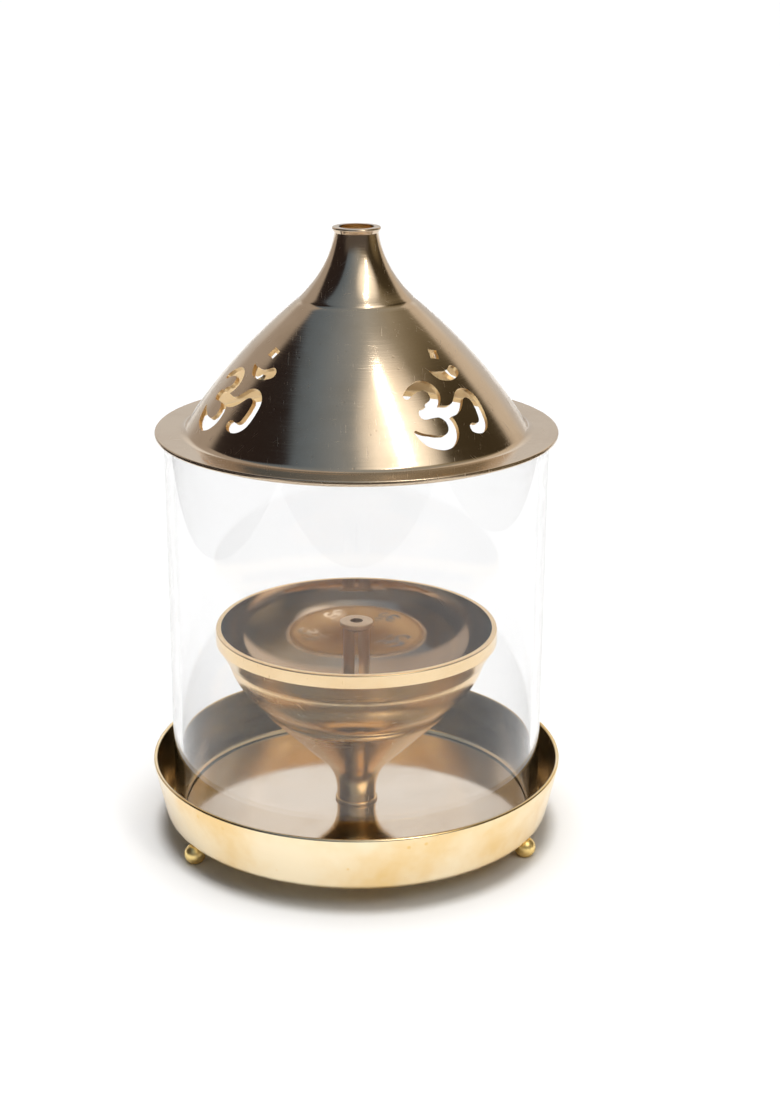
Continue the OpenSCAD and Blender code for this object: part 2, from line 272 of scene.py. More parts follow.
@dataclass
class Turning:
    """A closed profile that is spun round an upright axis, with true normals."""

    name: str
    profile: Line
    steps: int = 192
    centre: Point = (0.0, 0.0)
    crease: float = 32.0
    merge_gap: float = 2e-6
    sliver: float = 1e-7
    axis_gap: float = 1e-4
    wall_facing: float = 0.85
    batch: int = 4096

    def spin(self) -> bpy.types.Object:
        """Spins the profile into a closed mesh.

        Returns:
            The new object, at the origin, with its place in its mesh.
        """
        bm = bmesh.new()
        verts = [bm.verts.new((r * MM, 0.0, z * MM)) for r, z in self.profile]
        edges = [bm.edges.new(pair) for pair in zip(verts, verts[1:] + verts[:1])]
        bmesh.ops.spin(bm, geom=verts + edges, cent=(0, 0, 0), axis=(0, 0, 1), dvec=(0, 0, 0),
                       angle=2 * math.pi, steps=self.steps, use_merge=True)
        bmesh.ops.remove_doubles(bm, verts=bm.verts, dist=self.merge_gap)
        bmesh.ops.dissolve_degenerate(bm, edges=bm.edges, dist=self.sliver)
        loose = [e for e in bm.edges if not e.link_faces]
        bmesh.ops.delete(bm, geom=loose, context="EDGES")
        bmesh.ops.recalc_face_normals(bm, faces=bm.faces)
        bmesh.ops.translate(bm, verts=bm.verts, vec=(self.centre[0] * MM, self.centre[1] * MM, 0))
        return link(self.name, mesh_of(self.name, bm))

    def segment_normals(self) -> tuple[np.ndarray, np.ndarray, np.ndarray]:
        """Works out the normals of the profile at both ends of each of its lines.

        Returns:
            The start points, the end points, and the normals at both ends.
        """
        start = np.array(self.profile, float)
        end = np.roll(start, -1, axis=0)
        run = end - start
        length = np.linalg.norm(run, axis=1)
        normal = unit(np.c_[run[:, 1], -run[:, 0]])
        following = np.roll(normal, -1, axis=0)
        blend = unit(normal * length[:, None] + following * np.roll(length, -1)[:, None])
        smooth = (normal * following).sum(1) > math.cos(math.radians(self.crease))
        at_end = np.where(smooth[:, None], blend, normal)
        joined = np.roll(smooth, 1)
        at_start = np.where(joined[:, None], np.roll(blend, 1, axis=0), normal)
        return start, end, np.stack([at_start, at_end], axis=1)

    def nearest(self, spots: np.ndarray) -> np.ndarray:
        """Finds the profile line that is nearest to each spot.

        Args:
            spots: Radius and height of each spot, in millimetres.

        Returns:
            The number of each spot's line.
        """
        start = np.array(self.profile, float)
        run = np.roll(start, -1, axis=0) - start
        square = np.maximum((run ** 2).sum(1), TINY)
        found = np.empty(len(spots), np.int32)
        for first in range(0, len(spots), self.batch):
            part = spots[first:first + self.batch, None, :] - start[None]
            t = np.clip((part * run[None]).sum(2) / square[None], 0, 1)
            gap = np.linalg.norm(part - t[..., None] * run[None], axis=2)
            found[first:first + self.batch] = gap.argmin(1)
        return found

    def smooth(self, mesh: bpy.types.Mesh) -> np.ndarray:
        """Gives the mesh the true normals of the turned surface, and leaves cut walls flat.

        Args:
            mesh: The spun mesh, which may have been cut since.

        Returns:
            For each face, the profile line it lies on, or -1 for a cut wall.
        """
        start, end, normals = self.segment_normals()
        run = end - start
        square = np.maximum((run ** 2).sum(1), TINY)
        co = read(mesh.vertices, "co", 3) / MM - np.array([*self.centre, 0.0])
        radius = np.hypot(co[:, 0], co[:, 1])
        flat = np.c_[radius, co[:, 2]]
        corner = read(mesh.loops, "vertex_index", 1, np.int32)
        total = read(mesh.polygons, "loop_total", 1, np.int32)
        face_normal = read(mesh.polygons, "normal", 3)
        face_of = np.repeat(np.arange(len(total)), total)
        middle = np.zeros((len(total), 2))
        centre = np.zeros((len(total), 2))
        for axis in range(2):
            middle[:, axis] = np.bincount(face_of, flat[corner, axis], len(total)) / total
            centre[:, axis] = np.bincount(face_of, co[corner, axis], len(total)) / total
        line_of = self.nearest(middle)
        own = line_of[face_of]
        t = np.clip(((flat[corner] - start[own]) * run[own]).sum(1) / square[own], 0, 1)[:, None]
        here = normals[own, 0] * (1 - t) + normals[own, 1] * t
        around = co[corner, :2].copy()
        axial = radius[corner] < self.axis_gap
        around[axial] = centre[face_of][axial]
        true = unit(np.c_[unit(around) * here[:, :1], here[:, 1]])
        facing = (true * face_normal[face_of]).sum(1)
        true[facing < 0] *= -1
        wall = np.bincount(face_of, np.abs(facing), len(total)) / total < self.wall_facing
        true[wall[face_of]] = face_normal[face_of][wall[face_of]]
        mesh.shade_smooth()
        mesh.normals_split_custom_set(true.tolist())
        return np.where(wall, -1, line_of)


# Finishes


def socket(tree: bpy.types.NodeTree, name: str, kind: str, way: str, value: float | None = None) -> None:
    """Adds a socket to a node group.

    Args:
        tree: The group.
        name: Name of the socket.
        kind: Its Blender type.
        way: INPUT or OUTPUT.
        value: Default of a number.
    """
    made = tree.interface.new_socket(name=name, in_out=way, socket_type=kind)
    if value is not None:
        made.default_value = value


@dataclass
class NodeBench:
    """Short calls that add nodes to one tree."""

    tree: bpy.types.NodeTree

    def add(self, kind: str, **settings: object) -> bpy.types.Node:
        """Adds a node.

        Args:
            kind: Its Blender type.
            settings: Its properties.

        Returns:
            The node.
        """
        node = self.tree.nodes.new(kind)
        for key, value in settings.items():
            setattr(node, key, value)
        return node

    def join(self, source: bpy.types.NodeSocket, target: bpy.types.NodeSocket) -> None:
        """Links two sockets."""
        self.tree.links.new(source, target)

    def feed(self, given: object, into: bpy.types.NodeSocket) -> None:
        """Links a socket to an input, or sets the input.

        Args:
            given: A socket, a number or a colour.
            into: The input.
        """
        if isinstance(given, bpy.types.NodeSocket):
            self.join(given, into)
        else:
            into.default_value = (*given, 1.0) if isinstance(given, tuple) else given

    def math(self, operation: str, *values: object) -> bpy.types.NodeSocket:
        """Adds a Math node.

        Args:
            operation: Its operation.
            values: Sockets or numbers for its inputs.

        Returns:
            Its output.
        """
        node = self.add("ShaderNodeMath", operation=operation)
        for given, into in zip(values, node.inputs):
            self.feed(given, into)
        return node.outputs[0]

    def times(self, a: object, b: object) -> bpy.types.NodeSocket:
        """Multiplies two numbers."""
        return self.math("MULTIPLY", a, b)

    def plus(self, a: object, b: object) -> bpy.types.NodeSocket:
        """Adds two numbers."""
        return self.math("ADD", a, b)

    def remap(self, value: bpy.types.NodeSocket, low: float, high: float, to_low: float,
              to_high: float) -> bpy.types.NodeSocket:
        """Maps a range of numbers to another, smoothly and with clamped ends.

        Args:
            value: What is mapped.
            low: Low end of the range.
            high: High end of the range.
            to_low: What the low end becomes.
            to_high: What the high end becomes.

        Returns:
            The mapped number.
        """
        node = self.add("ShaderNodeMapRange", interpolation_type="SMOOTHSTEP")
        self.join(value, node.inputs["Value"])
        for key, number in (("From Min", low), ("From Max", high), ("To Min", to_low), ("To Max", to_high)):
            node.inputs[key].default_value = number
        return node.outputs["Result"]

    def blend(self, share: bpy.types.NodeSocket, a: object, b: object) -> bpy.types.NodeSocket:
        """Mixes two colours.

        Args:
            share: Share of the second colour.
            a: First colour, a socket or numbers.
            b: Second colour.

        Returns:
            The mixed colour.
        """
        node = self.add("ShaderNodeMix", data_type="RGBA")
        self.join(share, node.inputs["Factor"])
        self.feed(a, node.inputs[6])
        self.feed(b, node.inputs[7])
        return node.outputs[2]

    def noise(self, vector: bpy.types.NodeSocket, scale: float, detail: float, rough: float) -> bpy.types.NodeSocket:
        """Adds a Noise Texture.

        Args:
            vector: Where it is read.
            scale: Its scale.
            detail: Its detail.
            rough: Its roughness.

        Returns:
            Its grey value.
        """
        node = self.add("ShaderNodeTexNoise")
        for key, number in (("Scale", scale), ("Detail", detail), ("Roughness", rough)):
            node.inputs[key].default_value = number
        self.join(vector, node.inputs["Vector"])
        return node.outputs[0]


@dataclass
class LatheEffects:
    """The shared effects of lathe-turned metal, as node groups."""

    band_share: float = 0.08
    axis_gap: float = 1e-5
    smudge_scale: float = 55.0
    smudge_range: Point = (0.35, 0.75)
    scratch_range: Point = (0.70, 0.76)
    scratch_lays: tuple[tuple[Triple, Triple], ...] = (
        ((0.4, 0.2, 0.9), (2600.0, 160.0, 260.0)), ((1.1, 0.5, 2.2), (190.0, 2300.0, 220.0)))
    pit_scale: float = 210.0
    pit_range: Point = (0.05, 0.09)

    def __post_init__(self) -> None:
        """Builds both groups once."""
        self.marks = self.turning_marks()
        self.handling = self.handling_marks()

    def turning_marks(self) -> bpy.types.NodeTree:
        """Builds the fine rings that a polishing lathe leaves.

        Returns:
            A group with the rings and the broader bands among them.
        """
        tree = bpy.data.node_groups.new("turning marks", "ShaderNodeTree")
        socket(tree, "Rise", "NodeSocketFloat", "INPUT", 1.0)
        socket(tree, "Pitch", "NodeSocketFloat", "INPUT", 4000.0)
        socket(tree, "Wander", "NodeSocketFloat", "INPUT", 1.5)
        socket(tree, "Rings", "NodeSocketFloat", "OUTPUT")
        socket(tree, "Bands", "NodeSocketFloat", "OUTPUT")
        bench = NodeBench(tree)
        given = bench.add("NodeGroupInput")
        put = bench.add("NodeGroupOutput")
        place = bench.add("ShaderNodeTexCoord").outputs["Object"]
        split = bench.add("ShaderNodeSeparateXYZ")
        bench.join(place, split.inputs[0])
        x, y, z = split.outputs
        radius = bench.math("SQRT", bench.plus(bench.times(x, x), bench.times(y, y)))
        safe = bench.math("MAXIMUM", radius, self.axis_gap)
        slope = bench.plus(z, bench.times(radius, given.outputs["Rise"]))
        turn_x = bench.times(bench.math("DIVIDE", x, safe), given.outputs["Wander"])
        turn_y = bench.times(bench.math("DIVIDE", y, safe), given.outputs["Wander"])
        for name, share in (("Rings", 1.0), ("Bands", self.band_share)):
            spot = bench.add("ShaderNodeCombineXYZ")
            bench.join(turn_x, spot.inputs[0])
            bench.join(turn_y, spot.inputs[1])
            bench.join(bench.times(bench.times(slope, given.outputs["Pitch"]), share), spot.inputs[2])
            bench.join(bench.noise(spot.outputs[0], 1.0, 3.0, 0.6), put.inputs[name])
        return tree

    def handling_marks(self) -> bpy.types.NodeTree:
        """Builds smudges, thin scratches and tiny pits from use.

        Returns:
            A group with the three masks.
        """
        tree = bpy.data.node_groups.new("handling marks", "ShaderNodeTree")
        socket(tree, "Size", "NodeSocketFloat", "INPUT", 1.0)
        for name in ("Smudges", "Scratches", "Pits"):
            socket(tree, name, "NodeSocketFloat", "OUTPUT")
        bench = NodeBench(tree)
        given = bench.add("NodeGroupInput")
        put = bench.add("NodeGroupOutput")
        place = bench.add("ShaderNodeTexCoord").outputs["Object"]
        sized = bench.add("ShaderNodeVectorMath", operation="SCALE")
        bench.join(place, sized.inputs[0])
        bench.join(given.outputs["Size"], sized.inputs["Scale"])
        spot = sized.outputs[0]
        clouds = bench.noise(spot, self.smudge_scale, 4.0, 0.6)
        bench.join(bench.remap(clouds, *self.smudge_range, 0.0, 1.0), put.inputs["Smudges"])
        thin = []
        for turn, stretch in self.scratch_lays:
            lay = bench.add("ShaderNodeMapping")
            lay.inputs["Rotation"].default_value = turn
            lay.inputs["Scale"].default_value = stretch
            bench.join(spot, lay.inputs["Vector"])
            thin.append(bench.remap(bench.noise(lay.outputs[0], 1.0, 1.0, 0.4), *self.scratch_range, 0.0, 1.0))
        bench.join(bench.math("MAXIMUM", *thin), put.inputs["Scratches"])
        cells = bench.add("ShaderNodeTexVoronoi")
        cells.inputs["Scale"].default_value = self.pit_scale
        bench.join(spot, cells.inputs["Vector"])
        bench.join(bench.remap(cells.outputs["Distance"], *self.pit_range, 1.0, 0.0), put.inputs["Pits"])
        return tree


@dataclass(frozen=True)
class BrassFinish:
    """One polished brass finish."""

    name: str
    light: Colour
    deep: Colour
    smooth: float
    rough: float
    rise: float = 1.0
    pitch: float = 1900.0
    depth: float = 0.06
    wear: float = 0.5
    scratch: float = 0.12
    blotch: float = 1.0
    ring_gloss: float = 0.55
    band_gloss: float = 0.45
    smudge_gloss: float = 0.25
    scratch_gloss: float = 0.4
    gloss_range: Point = (0.3, 0.85)
    pit_tint: float = 0.5
    pit_depth: float = 2.0
    relief: float = 0.0002

    def make(self, effects: LatheEffects) -> bpy.types.Material:
        """Builds the material.

        Args:
            effects: The shared effects.

        Returns:
            The finished material.
        """
        mat = bpy.data.materials.new(self.name)
        mat.use_nodes = True
        bench = NodeBench(mat.node_tree)
        shader = mat.node_tree.nodes["Principled BSDF"]
        shader.inputs["Metallic"].default_value = 1.0
        marks = bench.add("ShaderNodeGroup", node_tree=effects.marks)
        marks.inputs["Rise"].default_value = self.rise
        marks.inputs["Pitch"].default_value = self.pitch
        handling = bench.add("ShaderNodeGroup", node_tree=effects.handling)
        handling.inputs["Size"].default_value = self.blotch
        rings, bands = marks.outputs["Rings"], marks.outputs["Bands"]
        smudges, scratches, pits = (handling.outputs[key] for key in ("Smudges", "Scratches", "Pits"))
        tint = bench.plus(bench.times(smudges, self.wear), bench.times(pits, self.pit_tint * self.wear))
        bench.join(bench.blend(tint, self.light, self.deep), shader.inputs["Base Color"])
        mixed = bench.plus(bench.times(rings, self.ring_gloss), bench.times(bands, self.band_gloss))
        mixed = bench.plus(mixed, bench.times(smudges, self.smudge_gloss))
        gloss = bench.remap(mixed, *self.gloss_range, self.smooth, self.rough)
        gloss = bench.plus(gloss, bench.times(scratches, self.scratch_gloss * self.scratch))
        bench.join(gloss, shader.inputs["Roughness"])
        height = bench.math("SUBTRACT", rings, bench.times(scratches, self.scratch))
        height = bench.math("SUBTRACT", height, bench.times(pits, self.pit_depth * self.wear))
        bump = bench.add("ShaderNodeBump")
        bump.inputs["Strength"].default_value = self.depth
        bump.inputs["Distance"].default_value = self.relief
        bench.join(height, bump.inputs["Height"])
        bench.join(bump.outputs[0], shader.inputs["Normal"])
        return mat


@dataclass(frozen=True)
class GlassFinish:
    """Clear blown glass with faint waves."""

    name: str
    tint: Colour
    index: float
    wave: float
    wave_scale: float = 18.0
    relief: float = 0.001

    def make(self) -> bpy.types.Material:
        """Builds the material.

        Returns:
            The finished material.
        """
        mat = bpy.data.materials.new(self.name)
        mat.use_nodes = True
        bench = NodeBench(mat.node_tree)
        shader = mat.node_tree.nodes["Principled BSDF"]
        shader.inputs["Base Color"].default_value = (*self.tint, 1.0)
        shader.inputs["Roughness"].default_value = 0.0
        shader.inputs["IOR"].default_value = self.index
        shader.inputs["Transmission Weight"].default_value = 1.0
        place = bench.add("ShaderNodeTexCoord").outputs["Object"]
        bump = bench.add("ShaderNodeBump")
        bump.inputs["Strength"].default_value = self.wave
        bump.inputs["Distance"].default_value = self.relief
        bench.join(bench.noise(place, self.wave_scale, 1.0, 0.4), bump.inputs["Height"])
        bench.join(bump.outputs[0], shader.inputs["Normal"])
        clear = bench.add("ShaderNodeBsdfTransparent")
        path = bench.add("ShaderNodeLightPath")
        mix = bench.add("ShaderNodeMixShader")
        bench.join(path.outputs["Is Shadow Ray"], mix.inputs[0])
        bench.join(shader.outputs[0], mix.inputs[1])
        bench.join(clear.outputs[0], mix.inputs[2])
        bench.join(mix.outputs[0], mat.node_tree.nodes["Material Output"].inputs["Surface"])
        return mat


@dataclass
class Finishes:
    """All materials of the lamp."""

    effects: LatheEffects = field(default_factory=LatheEffects)

    def __post_init__(self) -> None:
        """Makes each material once."""
        self.lid = BrassFinish("lid brass", (0.67, 0.54, 0.40), (0.54, 0.41, 0.28), 0.10, 0.19, rise=-1.0,
                               depth=0.06, wear=0.6, scratch=0.35).make(self.effects)
        # Painted light: the lid's inside gets a lighter, more golden copy of the lid brass, so that its reflection in
        # the bowl shows as a bright golden patch.
        self.lid_inside_painted_light = BrassFinish("lid inside brass with painted light", (0.95, 0.70, 0.38), (0.78, 0.51, 0.23), 0.34, 0.50,
                                      rise=-1.0).make(self.effects)
        self.tray = BrassFinish("tray brass", (0.95, 0.81, 0.57), (0.86, 0.60, 0.26), 0.08, 0.24,
                                depth=0.03, wear=1.0, blotch=0.6).make(self.effects)
        self.tray_floor = BrassFinish("tray floor brass", (0.82, 0.71, 0.59), (0.72, 0.58, 0.44), 0.05, 0.13,
                                      depth=0.02, wear=0.4).make(self.effects)
        # Painted shade: the well of the bowl gets a darker, greyer copy of the bowl brass to stand for the shade inside
        # it.
        self.bowl_inside_painted_shade = BrassFinish("bowl inside brass with painted shade", (0.67, 0.53, 0.40), (0.52, 0.38, 0.26), 0.05, 0.14,
                                       depth=0.02, wear=0.6).make(self.effects)
        self.bowl = BrassFinish("bowl brass", (1.0, 0.75, 0.43), (0.90, 0.60, 0.29), 0.16, 0.28,
                                depth=0.02, wear=0.5).make(self.effects)
        self.tube = BrassFinish("wick tube brass", (0.86, 0.66, 0.46), (0.66, 0.46, 0.29), 0.30, 0.45,
                                depth=0.05).make(self.effects)
        self.foot = BrassFinish("foot brass", (1.0, 0.77, 0.33), (0.90, 0.62, 0.22), 0.26, 0.40,
                                depth=0.03).make(self.effects)
        self.fastener = BrassFinish("fastener brass", (0.74, 0.58, 0.36), (0.56, 0.40, 0.22), 0.18, 0.34,
                                    depth=0.06).make(self.effects)
        self.glass = GlassFinish("chimney glass", (0.953, 0.955, 0.960), 1.47, 0.01).make()


# Pieces


def settle(piece: bpy.types.Object, node: str, body: Body, slot: Slot, *materials: bpy.types.Material) -> None:
    """Dresses a piece and puts it in the place of its CAD node.

    Args:
        piece: The new piece.
        node: The node that it stands for.
        body: The body that it rides on.
        slot: The record's slot of its finish; not used.
        materials: Its materials, in order.
    """
    for material in materials:
        piece.data.materials.append(material)
    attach(piece, body.value)
    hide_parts(node)
    log.info("%s stands for %s with %d faces", piece.name, node, len(piece.data.polygons))


def paint(piece: bpy.types.Object, inside: np.ndarray) -> None:
    """Gives the faces of the inside the second material of a piece.

    Args:
        piece: The piece.
        inside: For each face, true on the inside.
    """
    index = np.where(inside, Region.INSIDE.value, Region.OUTSIDE.value).astype(np.int32)
    piece.data.polygons.foreach_set("material_index", index)


@dataclass
class Tray:
    """Spun tray that everything stands on."""

    z: float = 5.4
    thickness: float = 1.2
    height: float = 17.6
    lean: float = 12.0
    corner: float = 1.2
    flat_r: float = 55.5
    hole_r: float = 2.75
    inset: float = 0.02

    def profile(self) -> Line:
        """Gives the closed profile of the sheet.

        Returns:
            The profile's points.
        """
        floor = self.z + self.thickness
        corner_z = floor + self.corner
        lean = math.radians(self.lean)
        start = (self.flat_r + self.corner * math.cos(lean), corner_z - self.corner * math.sin(lean))
        run = (self.z + self.height - start[1]) / math.cos(lean)
        half = self.thickness / 2
        top = (start[0] + run * math.sin(lean) + half * math.cos(lean) - self.inset,
               start[1] + run * math.cos(lean) - half * math.sin(lean) - half)
        inner = round_edge(self.flat_r, corner_z, self.corner, -90, -self.lean, 8)
        return [
            (self.hole_r, self.z),
            *round_edge(self.flat_r, corner_z, self.corner + self.thickness, -90, -self.lean, 10),
            *round_edge(top[0], top[1], half, -self.lean, 180 - self.lean, 12),
            *reversed(inner),
            (self.hole_r, floor),
        ]

    def build(self, finishes: Finishes) -> None:
        """Builds and dresses the tray.

        Args:
            finishes: The materials.
        """
        turning = Turning("tray_spun", self.profile(), 256)
        piece = turning.spin()
        line_of = turning.smooth(piece.data)
        paint(piece, line_of == len(turning.profile) - 2)
        settle(piece, "tray", Body.BASE, Slot.BRASS, finishes.tray, finishes.tray_floor)


@dataclass
class Feet:
    """Three ball feet with flat ends under the edge of the tray."""

    height: float = 5.4
    ball_r: float = 3.1
    tip_r: float = 1.5
    reach: float = 55.7
    turn: float = 2.5
    lean: float = 30.0
    bulge: float = 10.0

    def build(self, finishes: Finishes) -> None:
        """Builds and dresses the feet.

        Args:
            finishes: The materials.
        """
        half = between(trace((0, 0, self.lean), [(self.bulge, 90 - self.lean)], 12),
                       (self.tip_r, 0), (self.ball_r, self.height / 2))
        side = half + [(r, self.height - z) for r, z in half[-2::-1]]
        for name, angle in (("foot_left", -60), ("foot_right", 60), ("foot_rear", 180)):
            a = math.radians(self.turn + angle)
            centre = (self.reach * math.sin(a), -self.reach * math.cos(a))
            turning = Turning(name + "_turned", [(0, 0), *side, (0, self.height)], 48, centre)
            piece = turning.spin()
            turning.smooth(piece.data)
            settle(piece, name, Body.BASE, Slot.PALE_BRASS, finishes.foot)


@dataclass
class Bowl:
    """Oil bowl with its funnel, stem and stud, turned from one casting."""

    floor_z: float = 6.6
    rim_r: float = 41.6
    rim_w: float = 1.5
    band_h: float = 3.8
    band_step: float = 0.4
    cup_h: float = 9.5
    cup_draw: float = 3.0
    belly_h: float = 13.21
    belly_draw: float = 8.9
    belly_turn: float = 40.0
    well_depth: float = 24.0
    wall: float = 0.9
    groove_w: float = 0.7
    groove_depth: float = 0.1
    groove_gap: float = 0.4
    hollow_r: float = 2.0
    shoulder_r: float = 4.0
    side_lean: float = 10.0
    sweep: float = 14.3
    stem_r: float = 5.9
    stem_len: float = 2.3
    bead_r: float = 0.5
    seat_r: float = 3.95
    seat_depth: float = 3.0
    stud_r: float = 2.5
    stud_end_z: float = 1.3
    soft: float = 0.4
    funnel_turn: float = 45.0

    def __post_init__(self) -> None:
        """Works out the heights from the tray up."""
        self.half = math.sqrt(0.5)
        self.cup_r = self.rim_r - self.band_step - self.cup_draw
        self.belly_r = self.cup_r - self.belly_draw
        self.belly_lean = math.degrees(math.atan2(self.belly_h, self.belly_draw))
        self.belly_end = 90 - self.belly_lean + self.belly_turn / 2
        end, side, half = math.radians(self.belly_end), math.radians(self.side_lean), self.half
        funnel_r = (self.belly_r - self.hollow_r * (math.cos(side) - math.cos(end))
                    - self.shoulder_r * (math.cos(side) - half))
        self.run = (funnel_r - self.stem_r - self.sweep * (1 - half)) / half
        self.belly_z = (self.floor_z + self.stem_len + 2 * self.bead_r + (self.sweep + self.run) * half
                        + self.hollow_r * (math.sin(end) - math.sin(side)) + self.shoulder_r * (half - math.sin(side)))
        self.cup_z = self.belly_z + self.belly_h
        self.rim_z = self.cup_z + self.cup_h
        self.well_z = self.rim_z - self.well_depth
        self.seat_z = self.well_z - self.seat_depth

    def well(self) -> Line:
        """Gives the oval inside of the well, from its floor to the rim.

        Returns:
            The points of the wall.
        """
        reach = self.rim_r - self.rim_w
        share = math.sqrt(1 - (self.cup_h / self.well_depth) ** 2)
        floor_r = (self.cup_r - self.wall - share * reach) / (1 - share)
        angles = [math.radians(90 * k / 40) for k in range(41)]
        return [(floor_r + (reach - floor_r) * math.sin(a), self.rim_z - self.well_depth * math.cos(a))
                for a in angles]

    def cup(self) -> Line:
        """Gives the leaning wall of the cup with its two grooves.

        Returns:
            The points of the wall.
        """
        high = np.array([self.rim_r - self.band_step, self.rim_z - self.band_h - self.band_step])
        low = np.array([self.cup_r, self.cup_z])
        down = (low - high) / np.linalg.norm(low - high)
        inward = np.array([down[1], -down[0]])
        points = [high]
        for k in (1, 0):
            end = (k + 1) * self.groove_gap + k * self.groove_w
            points += [low - (end + self.groove_w) * down,
                       low - (end + self.groove_w / 2) * down + self.groove_depth * inward,
                       low - end * down]
        return [(float(p[0]), float(p[1])) for p in points]

    def profile(self) -> Line:
        """Gives the closed profile of the casting.

        Returns:
            The profile's points.
        """
        lean = self.belly_lean - 180 + self.belly_turn / 2
        belly = between(trace((0, 0, lean), [(-self.belly_h, -self.belly_turn)], 20),
                        (self.cup_r, self.cup_z), (self.belly_r, self.belly_z))
        hollow = (self.hollow_r, self.belly_end - self.side_lean)
        top = (-self.shoulder_r, self.side_lean - self.funnel_turn)
        shoulder = trace((self.belly_r, self.belly_z, -90 - self.belly_end), [hollow, top], 14)
        x, y, heading = shoulder[-1]
        down = self.run * self.half
        sweep = trace((x - down, y - down, heading), [(self.sweep, self.funnel_turn)], 24)
        soft = self.soft
        return [
            (0, self.seat_z), (self.seat_r, self.seat_z), (self.seat_r, self.well_z),
            *self.well(),
            *round_edge(self.rim_r - soft, self.rim_z - soft, soft, 90, 0),
            (self.rim_r, self.rim_z - self.band_h),
            *self.cup(),
            *belly,
            *[(a, b) for a, b, _ in shoulder[1:]],
            *[(a, b) for a, b, _ in sweep],
            *round_edge(self.stem_r, self.floor_z + self.bead_r, self.bead_r, 90, -90, 14),
            (self.stud_r, self.floor_z), (self.stud_r, self.stud_end_z + soft),
            (self.stud_r - soft, self.stud_end_z), (0, self.stud_end_z),
        ]

    def build(self, finishes: Finishes) -> None:
        """Builds and dresses the bowl.

        Args:
            finishes: The materials.
        """
        turning = Turning("bowl_turned", self.profile(), 256)
        piece = turning.spin()
        line_of = turning.smooth(piece.data)
        # The inside of the well takes the darker brass, which is painted shade.
        paint(piece, line_of < 2 + len(self.well()))
        settle(piece, "diya_bowl", Body.BASE, Slot.BRASS, finishes.bowl, finishes.bowl_inside_painted_shade)


@dataclass
class WickTube:
    """Collared tube with a bore for the wick and a sawn oil slot."""

    seat_z: float
    rim_z: float
    tube_r: float = 3.9
    bore_r: float = 1.9
    collar_over: float = 1.1
    collar_h: float = 2.2
    bevel: float = 0.9
    rise: float = 0.8
    slot_w: float = 1.2
    saw_past: float = 1.0
    soft: float = 0.4

    def build(self, finishes: Finishes) -> None:
        """Builds, saws and dresses the tube.

        Args:
            finishes: The materials.
        """
        top = self.rim_z + self.rise
        collar_z = top - self.collar_h
        collar_r = self.tube_r + self.collar_over
        turning = Turning("wick_tube_turned", [
            (self.bore_r, self.seat_z), (self.tube_r, self.seat_z), (self.tube_r, collar_z),
            (collar_r, collar_z + self.bevel),
            *round_edge(collar_r - self.soft, top - self.soft, self.soft, 0, 90),
            (self.bore_r, top),
        ], 64)
        piece = turning.spin()
        saw = bmesh.new()
        bmesh.ops.create_cube(saw, size=1.0)
        bottom = self.seat_z - self.saw_past
        size = Vector((self.slot_w, 4 * self.tube_r, collar_z - bottom))
        bmesh.ops.scale(saw, vec=size * MM, verts=saw.verts)
        bmesh.ops.translate(saw, vec=Vector((0, 0, (collar_z + bottom) / 2)) * MM, verts=saw.verts)
        cut(piece, saw)
        turning.smooth(piece.data)
        settle(piece, "wick_tube", Body.WICK, Slot.PALE_BRASS, finishes.tube)


def cut(piece: bpy.types.Object, cutter: bmesh.types.BMesh) -> None:
    """Cuts a shape out of a piece and keeps the result as its mesh.

    Args:
        piece: The piece to cut.
        cutter: The shape to take away, which is used up.
    """
    bmesh.ops.recalc_face_normals(cutter, faces=cutter.faces)
    mesh = mesh_of("cutter", cutter)
    tool = link("cutter", mesh)
    boolean = piece.modifiers.new("cut", "BOOLEAN")
    boolean.object = tool
    boolean.operation = "DIFFERENCE"
    boolean.solver = "EXACT"
    boolean.use_self = True
    graph = bpy.context.evaluated_depsgraph_get()
    result = bpy.data.meshes.new_from_object(piece.evaluated_get(graph))
    old = piece.data
    result.name = old.name
    piece.modifiers.clear()
    piece.data = result
    bpy.data.objects.remove(tool)
    bpy.data.meshes.remove(mesh)
    bpy.data.meshes.remove(old)


@dataclass
class GlassChimney:
    """Open glass cylinder with melted edges."""

    z: float = 6.6
    height: float = 115.4
    outer_r: float = 55.0
    wall: float = 2.5
    edge: float = 0.6

    def build(self, finishes: Finishes) -> None:
        """Builds and dresses the glass.

        Args:
            finishes: The materials.
        """
        inner = self.outer_r - self.wall
        low, high = self.z + self.edge, self.z + self.height - self.edge
        turning = Turning("glass_blown", [
            *round_edge(inner + self.edge, low, self.edge, 180, 270),
            *round_edge(self.outer_r - self.edge, low, self.edge, -90, 0),
            *round_edge(self.outer_r - self.edge, high, self.edge, 0, 90),
            *round_edge(inner + self.edge, high, self.edge, 90, 180),
        ], 256)
        piece = turning.spin()
        turning.smooth(piece.data)
        settle(piece, "glass_chimney", Body.GLASS, Slot.GLASS, finishes.glass)


@dataclass(frozen=True)
class Stroke:
    """One pen stroke of the pierced sign: start, half width there, and arcs with half widths at their ends."""

    start: Triple
    half: float
    arcs: tuple[Triple, ...]

    def outline(self, steps: int = 10) -> Line:
        """Gives the closed outline with round ends.

        Args:
            steps: Number of short steps in each arc.

        Returns:
            The outline's points.
        """
        states = trace(self.start, [(r, s) for r, s, _ in self.arcs], steps)
        halves, now = [], self.half
        for _, _, then in self.arcs:
            halves += [now + (then - now) * k / steps for k in range(steps)]
            now = then
        halves.append(now)
        left, right = [], []
        for (x, y, h), w in zip(states, halves):
            s, c = math.sin(math.radians(h)), math.cos(math.radians(h))
            left.append((x - w * s, y + w * c))
            right.append((x + w * s, y - w * c))
        (x0, y0, h0), (x1, y1, h1) = states[0], states[-1]
        cap = round_edge(x1, y1, now, h1 + 90, h1 - 90)[1:-1]
        tail = round_edge(x0, y0, self.half, h0 - 90, h0 - 270)[1:-1]
        return left + cap + right[::-1] + tail


